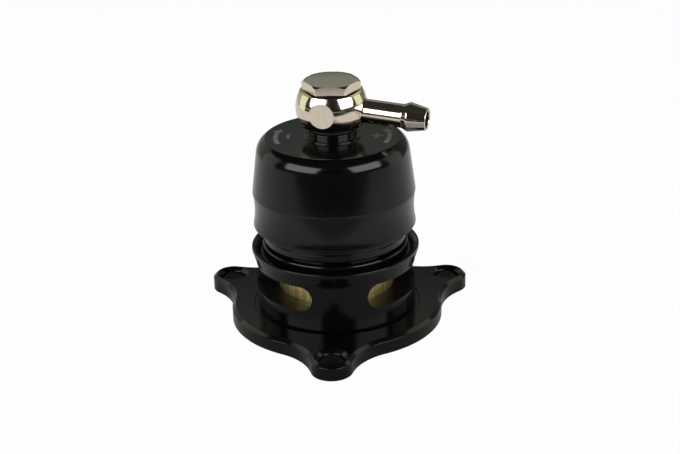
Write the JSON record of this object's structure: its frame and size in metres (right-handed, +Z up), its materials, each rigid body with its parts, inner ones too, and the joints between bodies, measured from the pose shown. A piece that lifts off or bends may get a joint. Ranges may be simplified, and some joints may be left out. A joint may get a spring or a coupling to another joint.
{
  "type": "blow off valve",
  "caption": "Blow off valve: a lugged flange carries a slotted drum with a sprung brass piston, a screw-on ridged cap and a swivelling hose barb.",
  "frame": {"origin": "centre of the bolt circle, on the flange's underside", "axes": "+Z up the valve's axis towards the banjo bolt, one flange lug at -Y, +X to the right of that lug seen from outside"},
  "size_m": [0.0716, 0.0692, 0.0674],
  "materials": {
    "black_anodised": "black anodised, satin, fine turning marks",
    "rubber": "matt black rubber",
    "guide_plastic": "matt",
    "brass": "turned, fine upright brushing",
    "spring_steel": "drawn wire, satin",
    "nickel": "bright nickel plate"
  },
  "bodies": {
    "body": {"mounting_flange": "black_anodised", "base_seal": "rubber", "valve_body": "black_anodised", "body_seal": "rubber", "cap_seal": "rubber"},
    "piston": {"piston": "brass", "piston_seal": "rubber", "guide_ring": "guide_plastic", "seat_seal": "rubber"},
    "spring_seat": {"spring_seat": "spring_steel", "spring": "spring_steel"},
    "cap": {"cap": "black_anodised", "lower_washer": "rubber", "upper_washer": "rubber", "banjo_bolt": "nickel"},
    "banjo": {"banjo_fitting": "nickel"}
  },
  "joints": [
    {"name": "piston_lift", "type": "slide", "parent": "body", "child": "piston", "axis": [0, 0, 1], "range_m": [0, 0.0105], "stiffness_N_per_m": 2500, "springref_m": -0.012, "deforming": ["spring"]},
    {"name": "cap_rise", "type": "slide", "parent": "body", "child": "spring_seat", "axis": [0, 0, 1], "range_m": [-0.0005, 0.002], "deforming": ["spring"]},
    {"name": "cap_turn", "type": "hinge", "parent": "spring_seat", "child": "cap", "pos_m": [0, 0, 0.03], "axis": [0, 0, 1], "range_deg": [-120, 480]},
    {"name": "banjo_swivel", "type": "hinge", "parent": "cap", "child": "banjo", "pos_m": [0, 0, 0.0601], "axis": [0, 0, 1], "continuous": true}
  ],
  "couplings": [
    {"joint": "cap_rise", "follows": "cap_turn", "m_per_rad": 0.00023873}
  ]
}
